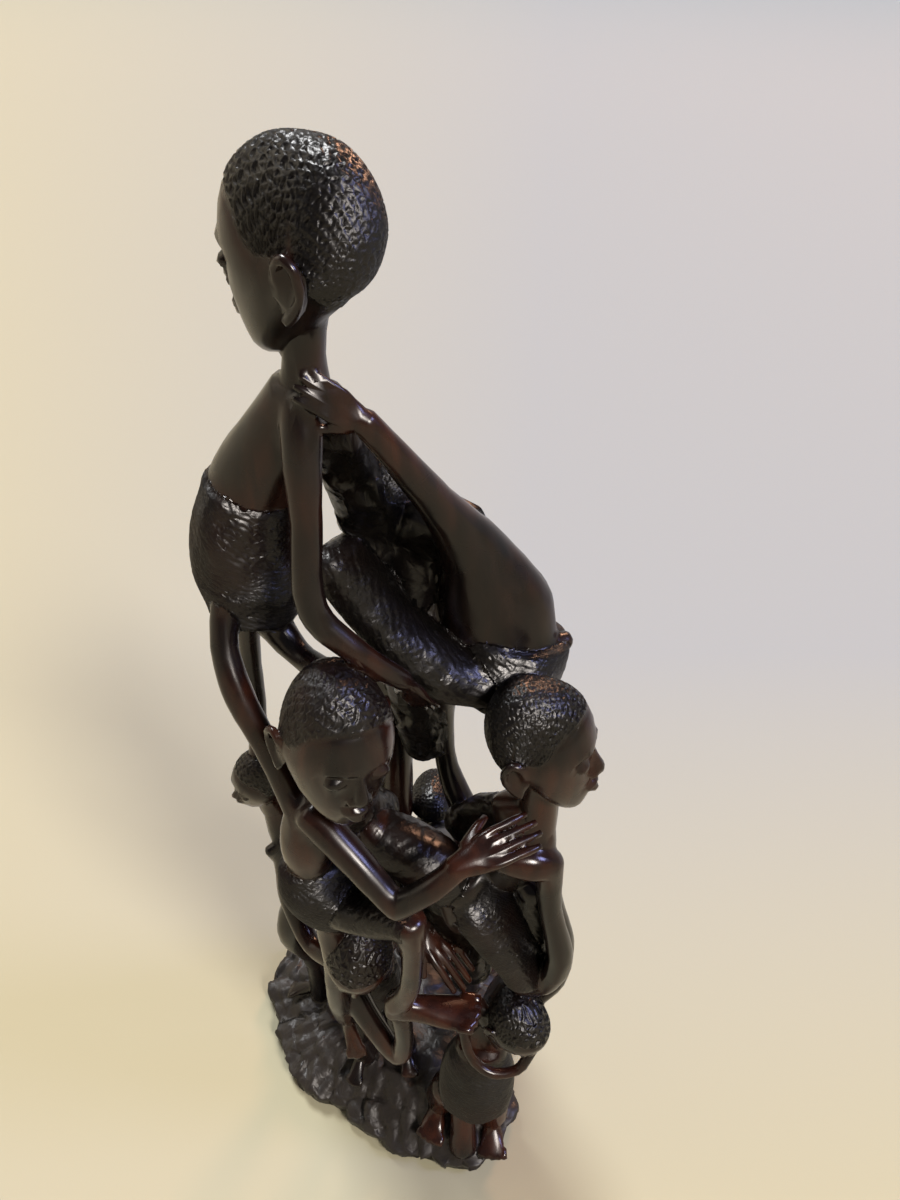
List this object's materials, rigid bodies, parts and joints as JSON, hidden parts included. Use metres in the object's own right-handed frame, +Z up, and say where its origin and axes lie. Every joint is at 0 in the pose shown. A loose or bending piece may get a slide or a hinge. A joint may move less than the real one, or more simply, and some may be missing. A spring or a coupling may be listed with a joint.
{
  "type": "figure carving",
  "caption": "Upright openwork carving of climbing, interlocked human figures on an uneven mound, cut in one piece from dark polished wood.",
  "frame": {"origin": "middle of the bounding box, on the flat underside", "axes": "+Z up, -Y towards the viewer, +X to the viewer's right"},
  "size_m": [0.2002, 0.1794, 0.595],
  "materials": {
    "blackwood": "polished near-black to deep reddish-brown heartwood, duller and greyer on the chopped mound"
  },
  "bodies": {
    "root": {"carving": "blackwood"}
  },
  "joints": []
}
